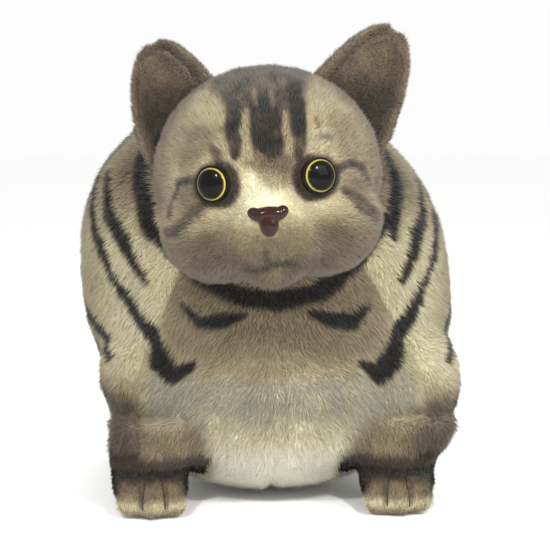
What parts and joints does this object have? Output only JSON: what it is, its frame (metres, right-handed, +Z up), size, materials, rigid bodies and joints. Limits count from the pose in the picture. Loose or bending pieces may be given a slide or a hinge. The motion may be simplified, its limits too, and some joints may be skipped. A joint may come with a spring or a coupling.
{
  "type": "plush cat",
  "caption": "Round standing tabby cat soft toy, sewn from pile cloth panels over filling, with plastic eyes and nose, a head that turns on a neck joint and a soft hanging tail.",
  "frame": {"origin": "middle of the whole cat's box, nose to tail, on the floor that its paws stand on", "axes": "+Z up; the cat looks along -Y and its tail hangs at +Y; +X is towards its own left side"},
  "size_m": [0.226, 0.3776, 0.2593],
  "materials": {
    "side_pile": "matte",
    "belly_pile": "matte",
    "head_pile": "matte",
    "face_pile": "matte",
    "ear_pile": "matte",
    "ear_lining": "matte",
    "leg_pile": "matte",
    "paw_pile": "matte",
    "sole_pile": "matte",
    "tail_pile": "matte",
    "neck_cloth": "matte",
    "label": "satin",
    "thread": "satin",
    "filling": "matte",
    "eye_black": "gloss",
    "iris_gold": "gloss",
    "eye_lens": "gloss",
    "nose_plastic": "gloss",
    "joint_plastic": "satin"
  },
  "bodies": {
    "torso": {"left_side_panel": "side_pile", "right_side_panel": "side_pile", "left_belly_panel": "belly_pile", "right_belly_panel": "belly_pile", "body_neck_panel": "neck_cloth", "body_filling": "filling", "sewn_label": "label", "front_left_leg_sleeve": "leg_pile", "front_left_paw_cover": "paw_pile", "front_left_paw_sole": "sole_pile", "front_left_leg_filling": "filling", "front_right_leg_sleeve": "leg_pile", "front_right_paw_cover": "paw_pile", "front_right_paw_sole": "sole_pile", "front_right_leg_filling": "filling", "hind_left_leg_sleeve": "leg_pile", "hind_left_paw_cover": "paw_pile", "hind_left_paw_sole": "sole_pile", "hind_left_leg_filling": "filling", "hind_right_leg_sleeve": "leg_pile", "hind_right_paw_cover": "paw_pile", "hind_right_paw_sole": "sole_pile", "hind_right_leg_filling": "filling", "toe_stitches": "thread", "neck_body_disc": "joint_plastic"},
    "head": {"head_gusset": "head_pile", "left_cheek_panel": "face_pile", "right_cheek_panel": "face_pile", "chin_panel": "face_pile", "head_neck_panel": "neck_cloth", "head_filling": "filling", "left_ear_back": "ear_pile", "left_ear_lining": "ear_lining", "right_ear_back": "ear_pile", "right_ear_lining": "ear_lining", "left_eye_base": "eye_black", "left_eye_iris": "iris_gold", "left_eye_lens": "eye_lens", "left_eye_washer": "joint_plastic", "right_eye_base": "eye_black", "right_eye_iris": "iris_gold", "right_eye_lens": "eye_lens", "right_eye_washer": "joint_plastic", "nose": "nose_plastic", "nose_washer": "joint_plastic", "neck_stem_disc": "joint_plastic", "neck_lock_washer": "joint_plastic"},
    "tail": {"tail_skin": "tail_pile", "tail_filling": "filling"}
  },
  "joints": [
    {"name": "neck_turn", "type": "hinge", "parent": "torso", "child": "head", "pos_m": [-0.00398, -0.09329, 0.16865], "axis": [-0.0393, -0.8651, 0.5], "range_deg": [-30, 30]},
    {"name": "tail_swing", "type": "hinge", "parent": "torso", "child": "tail", "pos_m": [0, 0.12743, 0.151], "axis": [0, 0, 1], "range_deg": [-30, 30]}
  ]
}
